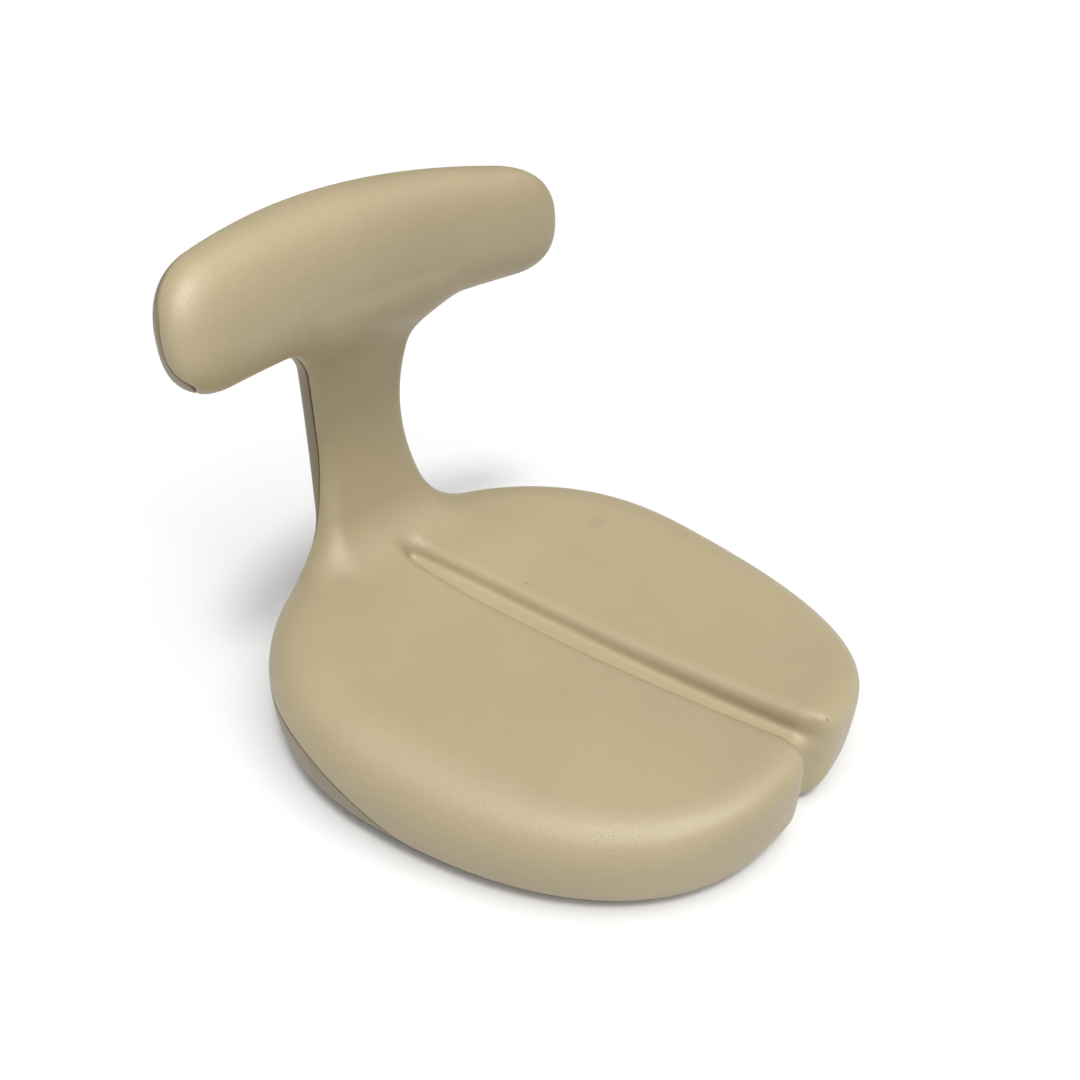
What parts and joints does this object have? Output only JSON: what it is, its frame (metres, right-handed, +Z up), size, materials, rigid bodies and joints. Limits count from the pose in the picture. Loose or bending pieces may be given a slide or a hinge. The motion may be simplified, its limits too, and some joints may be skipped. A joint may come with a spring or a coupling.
{
  "type": "legless floor posture chair",
  "caption": "Legless floor chair: dished seat with a centre groove and front notch, narrow curved neck and wide lumbar bar, moulded in one piece with a rear shell.",
  "frame": {"origin": "centre of the chair's plan, on the floor under the feet", "axes": "+Z up, -Y the way the sitter faces, X to the sides; the chair is the same left and right of the YZ plane"},
  "size_m": [0.3645, 0.4006, 0.3304],
  "materials": {
    "skinned_foam": "fine leather-like grain, satin",
    "moulded_shell": "fine spark-eroded texture",
    "cap_plastic": "smooth satin",
    "plywood": "bare sanded",
    "painted_steel": "black powder coat",
    "plated_steel": "zinc plated",
    "foot_rubber": "matt"
  },
  "bodies": {
    "root": {"cushion_moulding": "skinned_foam", "rear_shell": "moulded_shell", "base_cover": "moulded_shell", "seat_board": "plywood", "spine_bar": "painted_steel", "lumbar_plate": "painted_steel", "frame_bolt_1": "plated_steel", "tee_nut_1": "plated_steel", "lumbar_bolt_1": "plated_steel", "lumbar_nut_1": "plated_steel", "foot_1": "foot_rubber", "foot_screw_1": "plated_steel", "shell_screw_1": "plated_steel", "screw_cap_1": "cap_plastic", "frame_bolt_2": "plated_steel", "tee_nut_2": "plated_steel", "lumbar_bolt_2": "plated_steel", "lumbar_nut_2": "plated_steel", "foot_2": "foot_rubber", "foot_screw_2": "plated_steel", "shell_screw_2": "plated_steel", "screw_cap_2": "cap_plastic", "frame_bolt_3": "plated_steel", "tee_nut_3": "plated_steel", "lumbar_bolt_3": "plated_steel", "lumbar_nut_3": "plated_steel", "foot_3": "foot_rubber", "foot_screw_3": "plated_steel", "shell_screw_3": "plated_steel", "screw_cap_3": "cap_plastic", "frame_bolt_4": "plated_steel", "tee_nut_4": "plated_steel", "lumbar_bolt_4": "plated_steel", "lumbar_nut_4": "plated_steel", "foot_4": "foot_rubber", "foot_screw_4": "plated_steel", "shell_screw_4": "plated_steel", "screw_cap_4": "cap_plastic"}
  },
  "joints": []
}
